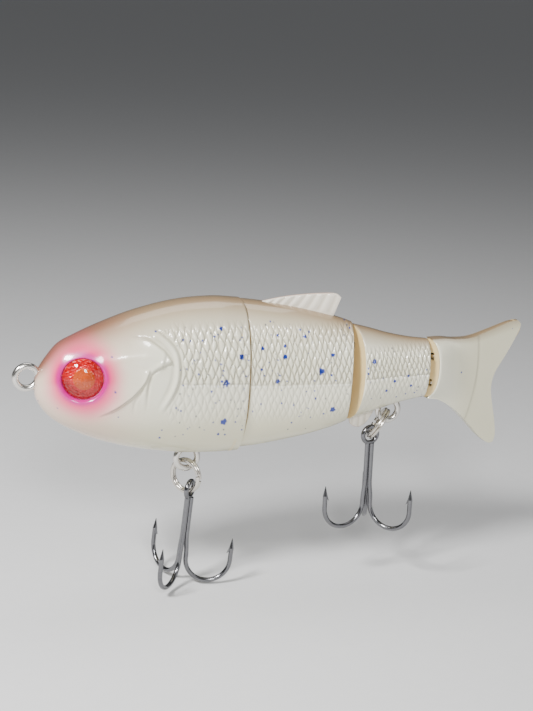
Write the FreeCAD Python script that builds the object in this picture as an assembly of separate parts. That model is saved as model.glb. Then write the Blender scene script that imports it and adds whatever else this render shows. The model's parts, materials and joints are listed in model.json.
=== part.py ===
"""Four-section jointed hard swimbait with two treble hooks.

Millimetres, +Z up, nose towards -X. The origin is the centre of the line tie's ring.
Every section is drawn straight, in line with the head, and then swung about its hinge pins into the
stored pose, so a size is changed in the straight drawing and the pose follows.
"""
import FreeCAD, Part
import math
import os

V = FreeCAD.Vector
X_AXIS, Y_AXIS, Z_AXIS = V(1, 0, 0), V(0, 1, 0), V(0, 0, 1)

# Overall body
BODY_DEPTH = 39.7
BODY_WIDTH = 21.8
HEAD_LENGTH = 50.8
MID_LENGTH = 28.6
REAR_LENGTH = 20.9
NOSE_X = 1.95
WALL = 1.6
SECTION_POWER = 2.2
NOSE_CROWDING = 2.0
BIG = 300.0

# Body offsets: share of the section's length, then top and bottom as shares of BODY_DEPTH and
# half-width as a share of BODY_WIDTH.
HEAD_ROWS = [
    (0.000, -0.030, -0.066, 0.020),
    (0.006, 0.018, -0.130, 0.088),
    (0.022, 0.056, -0.172, 0.142),
    (0.059, 0.122, -0.235, 0.226),
    (0.114, 0.199, -0.294, 0.308),
    (0.193, 0.250, -0.350, 0.381),
    (0.315, 0.316, -0.415, 0.440),
    (0.488, 0.393, -0.476, 0.482),
    (0.685, 0.448, -0.519, 0.500),
    (0.862, 0.463, -0.537, 0.491),
    (1.000, 0.450, -0.537, 0.468),
]
MID_ROWS = [
    (0.00, 0.441, -0.523, 0.459),
    (0.20, 0.428, -0.504, 0.445),
    (0.42, 0.408, -0.471, 0.413),
    (0.65, 0.377, -0.431, 0.372),
    (0.86, 0.341, -0.383, 0.330),
    (1.00, 0.310, -0.340, 0.298),
]
REAR_ROWS = [
    (0.00, 0.300, -0.327, 0.294),
    (0.22, 0.272, -0.295, 0.266),
    (0.48, 0.234, -0.256, 0.229),
    (0.75, 0.205, -0.220, 0.193),
    (1.00, 0.189, -0.197, 0.170),
]
TAIL_ROOT_ROWS = [
    (0.00, 0.190, -0.196, 0.167),
    (0.25, 0.189, -0.212, 0.138),
    (0.50, 0.172, -0.237, 0.098),
    (0.75, 0.150, -0.264, 0.062),
    (1.00, 0.128, -0.290, 0.030),
]

# Hinges: a flat rear face meets a V-shaped nose that turns on a vertical pin
JOINT_GAP = 0.25
PIN_RADIUS = 0.75
PIN_FIT = 0.02
PIN_OVERHANG = 2.2
LOOP_WIRE = 1.2
LOOP_HOLE = 1.0
POCKET_CLEARANCE = 0.4
NOSE_RADIUS = 2.5
LOOP_SHANK = 5.5
HEAD_HINGE = {"half_angle": 14.0, "rest": -12.5, "loops": (9.0, -11.5)}
MID_HINGE = {"half_angle": 20.0, "rest": 10.0, "loops": (6.5, -7.6)}
TAIL_HINGE = {"half_angle": 34.0, "rest": 10.5, "loops": (3.2, -3.8)}

# Tail fin
TAIL_ROOT_LENGTH = 16.0
TAIL_LENGTH = 26.4
TAIL_HEIGHT = 33.0
TAIL_ROOT_THICKNESS = 2.8
TAIL_EDGE_THICKNESS = 0.9
# Fin outline: share of TAIL_LENGTH behind the pin, share of TAIL_HEIGHT above the pin's middle
TAIL_OUTLINE = [
    (0.06, 0.215),
    (0.22, 0.205),
    (0.40, 0.212),
    (0.60, 0.255),
    (0.84, 0.310),
    (0.955, 0.320),
    (1.00, 0.275),
    (0.94, 0.170),
    (0.83, 0.030),
    (0.725, -0.095),
    (0.695, -0.205),
    (0.720, -0.320),
    (0.775, -0.480),
    (0.805, -0.610),
    (0.785, -0.675),
    (0.72, -0.675),
    (0.60, -0.610),
    (0.42, -0.470),
    (0.25, -0.350),
    (0.06, -0.235),
]

# Dorsal and anal fins: plates whose tabs sit in slots between the shell halves
FIN_THICKNESS = 1.4
FIN_FIT = 0.03
FIN_TAB = 1.1
DORSAL_START = 5.3
DORSAL_LENGTH = 20.3
DORSAL_HEIGHT = 5.8
DORSAL_OUTLINE = [(0.0, 0.0), (0.24, 0.30), (0.50, 0.59), (0.76, 0.86), (0.93, 1.0), (1.0, 0.90)]
DORSAL_TRAILING = [(0.99, 0.62), (0.92, 0.20), (0.90, 0.0)]
ANAL_START = 1.0
ANAL_LENGTH = 7.0
ANAL_HEIGHT = 3.4
ANAL_OUTLINE = [(0.0, 0.0), (0.10, 0.62), (0.40, 1.0), (0.66, 0.88), (0.86, 0.42), (1.0, 0.0)]

# Eyes
EYE_RADIUS = 4.95
EYE_X = 11.5
EYE_Z = 1.1
EYE_TURN = 19.0
EYE_TILT = 5.0
EYE_RECESS = 1.7
EYE_FIT = 0.05
EYE_DISC = 0.5
SOCKET_FLARE = 41.0
EYE_DOME = 1.9

# Line tie and hook hangers: screw eyes
EYELET_WIRE = 1.6
EYELET_RADIUS = 2.75
SCREW_FIT = 0.02
RING_CLEARANCE = 0.08
LINE_TIE_SHANK = 13.0
HANGER_SHANK = 9.0
FRONT_HANGER_X = 40.8
FRONT_HANGER_DROP = 1.9
REAR_HANGER_BACK = 8.9
REAR_HANGER_DROP = 1.4
BOSS_RADIUS = 3.2

# Split rings: two turns of flattened wire; slack is how far each link hangs short of taut
RING_RADIUS = 4.05
RING_RADIAL = 1.1
RING_AXIAL = 0.8
RING_PITCH = 0.76
RING_GAP_ANGLE = 9.0
FRONT_RING = {"turn": -55.0, "lean": 0.0, "slack": 0.7}
REAR_RING = {"turn": 68.0, "lean": 34.0, "slack": 1.2}

# Treble hooks
HOOK_LENGTH = 27.4
HOOK_WIRE = 1.2
HOOK_GAPE = 11.4
HOOK_SPREAD = 0.45
HOOK_POINT = 3.4
HOOK_NEEDLE = 2.6
HOOK_EYE_HOLE = 1.5
HOOK_EYE_TURN = 240.0
BUNDLE_OVERLAP = 0.97
TIP_SHARE = 0.12
BRAZE_SHARE = 0.62
BRAZE_RADIUS_SHARE = 0.45
BRAZE_FILL = 0.72
BARB_LENGTH = 1.4
BARB_HEIGHT = 0.75
FRONT_HOOK = {"turn": -12.0, "lean": -4.5, "slide": 24.0, "slack": 1.4}
REAR_HOOK = {"turn": -52.0, "lean": 1.0, "slide": 0.0, "slack": 1.4}

# Ballast
HEAD_BALLAST = {"radius": 3.6, "length": 13.0, "start": 22.0, "z": -11.0}
MID_BALLAST = {"radius": 2.7, "length": 8.5, "start": 64.5, "z": -9.4}
BALLAST_FIT = 0.03
RIB_THICKNESS = 1.2
RIB_TOP_ABOVE_AXIS = 1.5
RIB_INSET = 3.0

# Cavities, measured from the section's ends
HEAD_CAVITY_START = 18.5
HEAD_CAVITY_END = 7.5
MID_CAVITY_START = 8.0
MID_CAVITY_END = 6.8

# Registration pegs on the left halves
PEG_RADIUS = 0.9
PEG_LENGTH = 2.0
PEG_FIT = 0.05
HEAD_FRONT_PEG_X = 15.0
HEAD_FRONT_PEG_HEIGHTS = (-0.24, 0.20)
HEAD_REAR_PEG_BACK = 4.0
MID_PEGS = (3.2, 3.5)
REAR_PEGS = (3.4, 3.0)

# Straight-drawing positions worked out from the sizes above
HEAD_END_X = NOSE_X + HEAD_LENGTH
MID_END_X = HEAD_END_X + MID_LENGTH
REAR_END_X = MID_END_X + REAR_LENGTH
PIN_BACK = JOINT_GAP + NOSE_RADIUS
HEAD_PIN_X = HEAD_END_X + PIN_BACK
MID_PIN_X = MID_END_X + PIN_BACK
TAIL_PIN_X = REAR_END_X + PIN_BACK
HEAD = {"rows": HEAD_ROWS, "start": NOSE_X, "length": HEAD_LENGTH, "crowding": NOSE_CROWDING}
MID = {"rows": MID_ROWS, "start": HEAD_END_X, "length": MID_LENGTH, "crowding": 1.0}
REAR = {"rows": REAR_ROWS, "start": MID_END_X, "length": REAR_LENGTH, "crowding": 1.0}
TAIL_ROOT = {"rows": TAIL_ROOT_ROWS, "start": REAR_END_X, "length": TAIL_ROOT_LENGTH, "crowding": 1.0}
LOOP_RADIUS = LOOP_HOLE + LOOP_WIRE / 2
POCKET_RADIUS = LOOP_HOLE + LOOP_WIRE + POCKET_CLEARANCE
POCKET_HEIGHT = LOOP_WIRE + 2 * POCKET_CLEARANCE


def offsets_at(section, x):
    """(top, bottom, half-width) of a section's body at x, by cubic Hermite spans between its rows."""
    rows, crowding = section["rows"], section["crowding"]
    share = min(max((x - section["start"]) / section["length"], 0.0), 1.0)
    i = min(sum(1 for row in rows[1:] if row[0] < share), len(rows) - 2)
    near = [rows[max(i - 1, 0)], rows[i], rows[i + 1], rows[min(i + 2, len(rows) - 1)]]
    before, a, b, after = (row[0] ** (1 / crowding) for row in near)
    span = b - a
    t = (share ** (1 / crowding) - a) / span
    values = []
    for k, scale in ((1, BODY_DEPTH), (2, BODY_DEPTH), (3, BODY_WIDTH)):
        slope_a = (near[2][k] - near[0][k]) / (b - before)
        slope_b = (near[3][k] - near[1][k]) / (after - a)
        value = (2 * t ** 3 - 3 * t ** 2 + 1) * near[1][k] + (t ** 3 - 2 * t ** 2 + t) * span * slope_a
        value += (3 * t ** 2 - 2 * t ** 3) * near[2][k] + (t ** 3 - t ** 2) * span * slope_b
        values.append(value * scale)
    return values


def section_points(x, top, bottom, half_width, count=17):
    """Points down the left side of a superellipse section, from its top to its bottom."""
    middle = (top + bottom) / 2
    points = []
    for i in range(count):
        a = math.pi * i / (count - 1)
        across = max(math.sin(a), 0.0) ** (2 / SECTION_POWER)
        rise = math.copysign(abs(math.cos(a)) ** (2 / SECTION_POWER), math.cos(a))
        points.append(V(x, -half_width * across, middle + rise * (top - bottom) / 2))
    return points


def body_solid(section, inset=0.0, skip=0.0, stations=22):
    """A section's solid, shrunk by inset and begun after skip: a skin, its caps and its mirror image."""
    crowding = section["crowding"]
    first = (skip / section["length"]) ** (1 / crowding)
    grid = []
    for i in range(stations):
        place = first + (1 - first) * i / (stations - 1)
        x = section["start"] + section["length"] * place ** crowding
        top, bottom, half_width = offsets_at(section, x)
        grid.append(section_points(x, top - inset, bottom + inset, half_width - inset))
    surface = Part.BSplineSurface()
    surface.interpolate(grid)
    skin = surface.toShape()
    u0, u1, v0, v1 = surface.bounds()
    front, rear = surface.uIso(u0).toShape(), surface.uIso(u1).toShape()
    top_edge, bottom_edge = surface.vIso(v0).toShape(), surface.vIso(v1).toShape()
    front_line = Part.LineSegment(grid[0][0], grid[0][-1]).toShape()
    rear_line = Part.LineSegment(grid[-1][0], grid[-1][-1]).toShape()
    caps = [
        Part.Face(Part.Wire([front, front_line])),
        Part.Face(Part.Wire([rear, rear_line])),
        Part.Face(Part.Wire(Part.sortEdges([top_edge, rear_line, bottom_edge, front_line])[0])),
    ]
    shell = Part.makeShell([skin] + caps)
    shell.sewShape()
    left = Part.makeSolid(Part.Shell(shell.Faces))
    right = left.mirror(V(0, 0, 0), Y_AXIS)
    return left.fuse(right)


def block(x0, x1, y0=-BIG, y1=BIG, z0=-BIG, z1=BIG):
    return Part.makeBox(x1 - x0, y1 - y0, z1 - z0, V(x0, y0, z0))


def rod(start, direction, radius, length):
    return Part.makeCylinder(radius, length, start, direction)


def left_half(solid):
    return solid.common(block(-BIG, BIG, y1=0.0))


def right_half(solid):
    return solid.common(block(-BIG, BIG, y0=0.0))


def in_front_of_nose(pin_x, half_angle):
    """All that lies in front of a section's V-shaped nose: flanks at half_angle, rounded about the pin."""
    a = math.radians(half_angle)
    reach = BODY_WIDTH
    tangents = {}
    corners = {}
    for side in (1, -1):
        tangents[side] = V(pin_x - NOSE_RADIUS * math.cos(a), side * NOSE_RADIUS * math.sin(a), -BIG)
        corners[side] = tangents[side] + V(math.sin(a), side * math.cos(a), 0) * reach
    apex = V(pin_x - NOSE_RADIUS, 0, -BIG)
    front = pin_x - BODY_WIDTH
    edges = [
        Part.LineSegment(corners[1], tangents[1]).toShape(),
        Part.Arc(tangents[1], apex, tangents[-1]).toShape(),
        Part.LineSegment(tangents[-1], corners[-1]).toShape(),
        Part.LineSegment(corners[-1], V(front, corners[-1].y, -BIG)).toShape(),
        Part.LineSegment(V(front, corners[-1].y, -BIG), V(front, corners[1].y, -BIG)).toShape(),
        Part.LineSegment(V(front, corners[1].y, -BIG), corners[1]).toShape(),
    ]
    return Part.Face(Part.Wire(edges)).extrude(V(0, 0, 2 * BIG))


def screw_eye(centre, ring_axis, shank_direction, radius, wire, shank):
    """A closed wire ring on a plain pointed shank."""
    ring = Part.makeTorus(radius, wire / 2, centre, ring_axis)
    root = centre + shank_direction * radius
    stem = rod(root, shank_direction, wire / 2, shank)
    tip = Part.makeCone(wire / 2, wire / 8, wire, root + shank_direction * shank, shank_direction)
    return ring.fuse([stem, tip])


def screw_bore(centre, ring_axis, shank_direction, radius, wire, shank):
    """What a screw eye removes from the body it is driven into."""
    ring = Part.makeTorus(radius, wire / 2 + RING_CLEARANCE, centre, ring_axis)
    root = centre + shank_direction * radius
    stem = rod(root, shank_direction, wire / 2 + SCREW_FIT, shank + wire + SCREW_FIT)
    return [ring, stem]


def hinge_pin(pin_x, hinge):
    top, bottom = hinge["loops"]
    low = bottom - PIN_OVERHANG
    return rod(V(pin_x, 0, low), Z_AXIS, PIN_RADIUS, top + PIN_OVERHANG - low)


def hinge_loops(pin_x, hinge):
    """The two wire loops of a hinge, driven into the section in front of it."""
    loops = []
    for z in hinge["loops"]:
        loops.append(screw_eye(V(pin_x, 0, z), Z_AXIS, -X_AXIS, LOOP_RADIUS, LOOP_WIRE,
                               PIN_BACK - LOOP_RADIUS + LOOP_SHANK))
    return Part.Compound(loops)


def hinge_loop_bores(pin_x, hinge):
    tools = []
    for z in hinge["loops"]:
        length = PIN_BACK + LOOP_SHANK + LOOP_WIRE + SCREW_FIT
        tools.append(rod(V(pin_x, 0, z), -X_AXIS, LOOP_WIRE / 2 + SCREW_FIT, length))
    return tools


def hinge_nose_tools(pin_x, hinge):
    """The V cut, the loop pockets and the pin bore of the section behind a hinge."""
    tools = [in_front_of_nose(pin_x, hinge["half_angle"])]
    for z in hinge["loops"]:
        tools.append(rod(V(pin_x, 0, z - POCKET_HEIGHT / 2), Z_AXIS, POCKET_RADIUS, POCKET_HEIGHT))
    top, bottom = hinge["loops"]
    low = bottom - PIN_OVERHANG - PIN_FIT
    tools.append(rod(V(pin_x, 0, low), Z_AXIS, PIN_RADIUS + PIN_FIT, top + PIN_OVERHANG + PIN_FIT - low))
    return tools


def ballast_bar(spec, grow=0.0):
    start = V(spec["start"] - grow, 0, spec["z"])
    return rod(start, X_AXIS, spec["radius"] + grow, spec["length"] + 2 * grow)


def ballast_ribs(spec):
    """Two cross ribs that cradle a ballast bar."""
    top = spec["z"] + RIB_TOP_ABOVE_AXIS
    ribs = []
    for x in (spec["start"] + RIB_INSET, spec["start"] + spec["length"] - RIB_INSET):
        ribs.append(block(x - RIB_THICKNESS / 2, x + RIB_THICKNESS / 2, z1=top))
    return ribs


def peg_pair(x, z):
    """(peg, socket) of one registration peg that stands on the left half."""
    peg = rod(V(x, -PEG_LENGTH, z), Y_AXIS, PEG_RADIUS, 2 * PEG_LENGTH)
    socket = rod(V(x, 0, z), Y_AXIS, PEG_RADIUS + PEG_FIT, PEG_LENGTH + PEG_FIT)
    return peg, socket


def shell_halves(solid, pegs):
    left, right = left_half(solid), right_half(solid)
    for x, z in pegs:
        peg, socket = peg_pair(x, z)
        left = left.fuse(peg)
        right = right.cut(socket)
    return left, right


def eye_frame(side):
    """Placement of an eye: local +Z out of the flank at the eye's centre; side is -1 left, +1 right."""
    half_width = offsets_at(HEAD, EYE_X)[2]
    turn, tilt = math.radians(EYE_TURN), math.radians(EYE_TILT)
    out = V(-math.sin(turn) * math.cos(tilt), side * math.cos(turn) * math.cos(tilt), math.sin(tilt))
    rotation = FreeCAD.Rotation(Z_AXIS, out)
    return FreeCAD.Placement(V(EYE_X, side * half_width, EYE_Z), rotation)


def eye_pieces(side):
    """(flared pocket, printed disc, clear dome) of one eye."""
    frame = eye_frame(side)
    bore = EYE_RADIUS + EYE_FIT
    height = BODY_WIDTH / 2
    flared = bore + height * math.tan(math.radians(SOCKET_FLARE))
    pocket = Part.makeCylinder(bore, EYE_DISC, V(0, 0, -EYE_RECESS))
    pocket = pocket.fuse(Part.makeCone(bore, flared, height, V(0, 0, EYE_DISC - EYE_RECESS)))
    disc = Part.makeCylinder(EYE_RADIUS, EYE_DISC, V(0, 0, -EYE_RECESS))
    sphere_radius = (EYE_RADIUS ** 2 + EYE_DOME ** 2) / (2 * EYE_DOME)
    base = -EYE_RECESS + EYE_DISC
    ball = Part.makeSphere(sphere_radius, V(0, 0, base + EYE_DOME - sphere_radius))
    dome = ball.common(Part.makeCylinder(EYE_RADIUS, EYE_DOME * 2, V(0, 0, base)))
    for shape in (pocket, disc, dome):
        shape.Placement = frame
    return pocket, disc, dome


def head_hanger_centre():
    bottom = offsets_at(HEAD, FRONT_HANGER_X)[1]
    return V(FRONT_HANGER_X, 0, bottom - FRONT_HANGER_DROP)


def rear_hanger_centre():
    x = MID_PIN_X + REAR_HANGER_BACK
    bottom = offsets_at(REAR, x)[1]
    return V(x, 0, bottom - REAR_HANGER_DROP)


def hanger(centre):
    return screw_eye(centre, Y_AXIS, Z_AXIS, EYELET_RADIUS, EYELET_WIRE, HANGER_SHANK)


def hanger_bore(centre):
    return screw_bore(centre, Y_AXIS, Z_AXIS, EYELET_RADIUS, EYELET_WIRE, HANGER_SHANK)


def make_head():
    body = body_solid(HEAD)
    cavity = body_solid(HEAD, WALL, HEAD_CAVITY_START)
    cavity = cavity.common(block(NOSE_X + HEAD_CAVITY_START, HEAD_END_X - HEAD_CAVITY_END))
    centre = head_hanger_centre()
    boss = rod(centre, Z_AXIS, BOSS_RADIUS, EYELET_RADIUS + HANGER_SHANK + EYELET_WIRE + WALL)
    cavity = cavity.cut([boss] + ballast_ribs(HEAD_BALLAST))
    tools = [cavity, ballast_bar(HEAD_BALLAST, BALLAST_FIT)]
    tools += screw_bore(V(0, 0, 0), Y_AXIS, X_AXIS, EYELET_RADIUS, EYELET_WIRE, LINE_TIE_SHANK)
    tools += hanger_bore(centre)
    tools += hinge_loop_bores(HEAD_PIN_X, HEAD_HINGE)
    nodes = {}
    for side, name in ((-1, "left"), (1, "right")):
        pocket, disc, dome = eye_pieces(side)
        tools.append(pocket)
        nodes["eye_disc_" + name] = disc
        nodes["eye_dome_" + name] = dome
    pegs = [(NOSE_X + HEAD_FRONT_PEG_X, share * BODY_DEPTH) for share in HEAD_FRONT_PEG_HEIGHTS]
    pegs.append((HEAD_END_X - HEAD_REAR_PEG_BACK, 0.0))
    left, right = shell_halves(body.cut(tools), pegs)
    nodes["head_shell_left"], nodes["head_shell_right"] = left, right
    nodes["line_tie"] = screw_eye(V(0, 0, 0), Y_AXIS, X_AXIS, EYELET_RADIUS, EYELET_WIRE, LINE_TIE_SHANK)
    nodes["front_hook_hanger"] = hanger(centre)
    nodes["head_ballast"] = ballast_bar(HEAD_BALLAST)
    nodes["head_hinge_loops"] = hinge_loops(HEAD_PIN_X, HEAD_HINGE)
    return nodes


def fin_plate(points, trailing, edge_z, tab_direction, thickness):
    """A fin: a spline edge over a base that follows edge_z(x), with a tab below the base."""
    edge = Part.BSplineCurve()
    edge.interpolate([V(x, 0, z) for x, z in points])
    corner = points[-1]
    outline = [edge.toShape()]
    if trailing:
        back = Part.BSplineCurve()
        back.interpolate([V(x, 0, z) for x, z in [corner] + trailing])
        outline.append(back.toShape())
        corner = trailing[-1]
    first = points[0]
    depth = tab_direction * FIN_TAB
    below_last = (corner[0], edge_z(corner[0]) + depth)
    below_first = (first[0], edge_z(first[0]) + depth)
    middle_x = (corner[0] + first[0]) / 2
    below_middle = (middle_x, edge_z(middle_x) + depth)
    chain = [corner, below_last, below_middle, below_first, first]
    for a, b in zip(chain, chain[1:]):
        outline.append(Part.LineSegment(V(a[0], 0, a[1]), V(b[0], 0, b[1])).toShape())
    face = Part.Face(Part.Wire(outline))
    plate = face.extrude(V(0, thickness, 0))
    plate.translate(V(0, -thickness / 2, 0))
    return plate


def dorsal_fin(extra=0.0):
    def back_z(x):
        return offsets_at(MID, x)[0]

    start = HEAD_END_X + DORSAL_START

    def place(share, rise):
        x = start + share * DORSAL_LENGTH
        return x, back_z(x) + rise * DORSAL_HEIGHT

    points = [place(s, r) for s, r in DORSAL_OUTLINE]
    trailing = [place(s, r) for s, r in DORSAL_TRAILING]
    return fin_plate(points, trailing, back_z, -1, FIN_THICKNESS + 2 * extra)


def anal_fin(extra=0.0):
    def belly_z(x):
        return offsets_at(REAR, x)[1]

    start = MID_END_X + ANAL_START
    points = []
    for share, drop in ANAL_OUTLINE:
        x = start + share * ANAL_LENGTH
        points.append((x, belly_z(x) - drop * ANAL_HEIGHT))
    return fin_plate(points, [], belly_z, 1, FIN_THICKNESS + 2 * extra)


def make_mid():
    body = body_solid(MID)
    cavity = body_solid(MID, WALL)
    cavity = cavity.common(block(HEAD_END_X + MID_CAVITY_START, MID_END_X - MID_CAVITY_END))
    cavity = cavity.cut(ballast_ribs(MID_BALLAST))
    tools = [cavity, ballast_bar(MID_BALLAST, BALLAST_FIT), dorsal_fin(FIN_FIT)]
    tools += hinge_nose_tools(HEAD_PIN_X, HEAD_HINGE)
    tools += hinge_loop_bores(MID_PIN_X, MID_HINGE)
    pegs = [(HEAD_PIN_X + MID_PEGS[0], 0.0), (MID_END_X - MID_PEGS[1], 0.0)]
    left, right = shell_halves(body.cut(tools), pegs)
    return {
        "mid_shell_left": left,
        "mid_shell_right": right,
        "dorsal_fin": dorsal_fin(),
        "mid_ballast": ballast_bar(MID_BALLAST),
        "head_hinge_pin": hinge_pin(HEAD_PIN_X, HEAD_HINGE),
        "mid_hinge_loops": hinge_loops(MID_PIN_X, MID_HINGE),
    }


def make_rear():
    body = body_solid(REAR)
    centre = rear_hanger_centre()
    tools = [anal_fin(FIN_FIT)] + hanger_bore(centre)
    tools += hinge_nose_tools(MID_PIN_X, MID_HINGE)
    tools += hinge_loop_bores(TAIL_PIN_X, TAIL_HINGE)
    pegs = [(MID_PIN_X + REAR_PEGS[0], 0.0), (REAR_END_X - REAR_PEGS[1], 0.0)]
    left, right = shell_halves(body.cut(tools), pegs)
    return {
        "rear_shell_left": left,
        "rear_shell_right": right,
        "anal_fin": anal_fin(),
        "rear_hook_hanger": hanger(centre),
        "mid_hinge_pin": hinge_pin(MID_PIN_X, MID_HINGE),
        "tail_hinge_loops": hinge_loops(TAIL_PIN_X, TAIL_HINGE),
    }


def tail_wedge():
    """A wedge, thick at the tail's pin and thin at its trailing edge."""
    end = TAIL_PIN_X + TAIL_LENGTH
    root, edge = TAIL_ROOT_THICKNESS / 2, TAIL_EDGE_THICKNESS / 2
    places = [(TAIL_PIN_X, -root), (end, -edge), (end, edge), (TAIL_PIN_X, root), (TAIL_PIN_X, -root)]
    return Part.Face(Part.makePolygon([V(x, y, -BIG) for x, y in places])).extrude(V(0, 0, 2 * BIG))


def make_tail():
    curve = Part.BSplineCurve()
    ring = [V(TAIL_PIN_X + s * TAIL_LENGTH, -BODY_WIDTH, h * TAIL_HEIGHT) for s, h in TAIL_OUTLINE]
    curve.interpolate(ring, PeriodicFlag=True)
    plate = Part.Face(Part.Wire([curve.toShape()])).extrude(V(0, 2 * BODY_WIDTH, 0))
    tail = body_solid(TAIL_ROOT).fuse(plate.common(tail_wedge()))
    tail = tail.cut(hinge_nose_tools(TAIL_PIN_X, TAIL_HINGE))
    return {"tail": tail, "tail_hinge_pin": hinge_pin(TAIL_PIN_X, TAIL_HINGE)}


def ring_turn(side):
    """One turn of a split ring, on one side of its middle plane, with the gap where the wire ends."""
    section = Part.Ellipse(V(0, 0, 0), RING_RADIAL / 2, RING_AXIAL / 2).toShape()
    section.translate(V(RING_RADIUS, side * RING_PITCH / 2, 0))
    turn = Part.Face(Part.Wire([section])).revolve(V(0, 0, 0), Y_AXIS, 360 - RING_GAP_ANGLE)
    turn.rotate(V(0, 0, 0), Y_AXIS, side * RING_GAP_ANGLE)
    return turn


def split_ring():
    """A ring of two flattened turns round the origin, in the XZ plane."""
    return ring_turn(-1).fuse(ring_turn(1))


def hook_eye_radius():
    return HOOK_EYE_HOLE + HOOK_WIRE / 2


def bundle_offset():
    """How far each shank wire lies from the middle of three that just overlap."""
    return BUNDLE_OVERLAP * HOOK_WIRE / math.sqrt(3)


def hook_wire_piece():
    """One of a treble's three wires, in the XZ plane, from the eye down the shank and out along +X."""
    radius = HOOK_WIRE / 2
    bend = HOOK_GAPE / 2
    low_x = bundle_offset() + HOOK_SPREAD
    bend_z = -(HOOK_LENGTH - hook_eye_radius() - HOOK_WIRE) + bend
    braze_z = BRAZE_SHARE * bend_z
    top = V(bundle_offset(), 0, -hook_eye_radius())
    braze_end = V(bundle_offset(), 0, braze_z)
    middle_z = (braze_z + bend_z) / 2
    bend_start = V(low_x, 0, bend_z)
    bottom = V(low_x + bend, 0, bend_z - bend)
    bend_end = V(low_x + HOOK_GAPE, 0, bend_z)
    point = bend_end + V(0, 0, HOOK_POINT)
    spread = Part.BezierCurve()
    spread.setPoles([braze_end, V(bundle_offset(), 0, middle_z), V(low_x, 0, middle_z), bend_start])
    path = Part.Wire([
        Part.LineSegment(top, braze_end).toShape(),
        spread.toShape(),
        Part.Arc(bend_start, bottom, bend_end).toShape(),
        Part.LineSegment(bend_end, point).toShape(),
    ])
    profile = Part.Wire([Part.Circle(top, Z_AXIS, radius).toShape()])
    wire = path.makePipeShell([profile], True, False)
    needle = Part.makeCone(radius, radius * TIP_SHARE, HOOK_NEEDLE, point, Z_AXIS)
    inner = point - V(radius * 0.5, 0, 0)
    barb = Part.Face(Part.makePolygon([
        inner + V(0, 0, HOOK_NEEDLE * 0.3),
        inner - V(BARB_HEIGHT, 0, BARB_LENGTH),
        inner - V(0, 0, BARB_LENGTH * 0.4),
        inner + V(0, 0, HOOK_NEEDLE * 0.3),
    ])).extrude(V(0, radius, 0))
    barb.translate(V(0, -radius / 2, 0))
    return wire.fuse([needle, barb])


def treble_hook(turn):
    """A brazed treble with its eye's centre at the origin; turn is the first point's azimuth."""
    wires = []
    for i in range(3):
        wire = hook_wire_piece()
        wire.rotate(V(0, 0, 0), Z_AXIS, 120 * i)
        wires.append(wire)
    eye = Part.makeTorus(hook_eye_radius(), HOOK_WIRE / 2, V(0, 0, 0), Y_AXIS)
    eye.rotate(V(0, 0, 0), Z_AXIS, HOOK_EYE_TURN)
    braze_length = BRAZE_FILL * BRAZE_SHARE * HOOK_LENGTH
    braze = rod(V(0, 0, -hook_eye_radius()), -Z_AXIS, HOOK_WIRE * BRAZE_RADIUS_SHARE, braze_length)
    hook = eye.fuse(wires + [braze])
    hook.rotate(V(0, 0, 0), Z_AXIS, turn)
    return hook


def hang(hanger_at, ring_pose, hook_pose):
    """(split ring, hook, ring top, ring bottom, ring direction) hung on a hanger eye."""
    hole_radius = EYELET_RADIUS - EYELET_WIRE / 2
    ring_hole_radius = RING_RADIUS - RING_RADIAL / 2
    reach = hole_radius + ring_hole_radius - ring_pose["slack"]
    hook_reach = ring_hole_radius + HOOK_EYE_HOLE - hook_pose["slack"]
    lean = FreeCAD.Rotation(Y_AXIS, ring_pose["lean"])
    turn = FreeCAD.Rotation(Z_AXIS, ring_pose["turn"])
    down = lean.multVec(V(0, 0, -1))
    along = lean.multVec(turn.multVec(X_AXIS))
    slide = math.radians(hook_pose["slide"])
    ring_centre = hanger_at + down * reach
    hook_way = down * math.cos(slide) + along * math.sin(slide)
    ring = split_ring()
    ring.rotate(V(0, 0, 0), Z_AXIS, ring_pose["turn"])
    ring.rotate(V(0, 0, 0), Y_AXIS, ring_pose["lean"])
    ring.translate(ring_centre)
    hook = treble_hook(hook_pose["turn"])
    hook.rotate(V(0, 0, 0), Y_AXIS, -hook_pose["lean"])
    hook.translate(ring_centre + hook_way * hook_reach)
    return ring, hook, ring_centre - down * RING_RADIUS, ring_centre + hook_way * RING_RADIUS, along


HINGE_CHAIN = [(HEAD_PIN_X, HEAD_HINGE), (MID_PIN_X, MID_HINGE), (TAIL_PIN_X, TAIL_HINGE)]


def posed(shape, depth):
    """Swings a shape of the straight drawing about the first depth hinges."""
    shape = shape.copy()
    for pin_x, hinge in reversed(HINGE_CHAIN[:depth]):
        shape.rotate(V(pin_x, 0, 0), Z_AXIS, hinge["rest"])
    return shape


def posed_point(point, depth):
    return posed(Part.Vertex(point), depth).Point


def build():
    """{node: shape} of the whole bait in its stored pose."""
    nodes = dict(make_head())
    for depth, section in ((1, make_mid()), (2, make_rear()), (3, make_tail())):
        for name, shape in section.items():
            nodes[name] = posed(shape, depth)
    front = hang(head_hanger_centre(), FRONT_RING, FRONT_HOOK)
    rear = hang(posed_point(rear_hanger_centre(), 2), REAR_RING, REAR_HOOK)
    nodes["front_split_ring"], nodes["front_treble_hook"] = front[:2]
    nodes["rear_split_ring"], nodes["rear_treble_hook"] = rear[:2]
    return nodes


def export(nodes, folder="parts"):
    os.makedirs(folder, exist_ok=True)
    for name, shape in sorted(nodes.items()):
        solids = shape.Solids
        if not solids or not all(s.isValid() and s.Volume > 0 for s in solids):
            raise ValueError(f"{name} is not a valid solid")
        shape.exportStep(os.path.join(folder, name + ".step"))
        print(f"{name}: {len(solids)} solid(s), {sum(s.Volume for s in solids):.1f} mm3")


if __name__ == "__main__":
    export(build())
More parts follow.
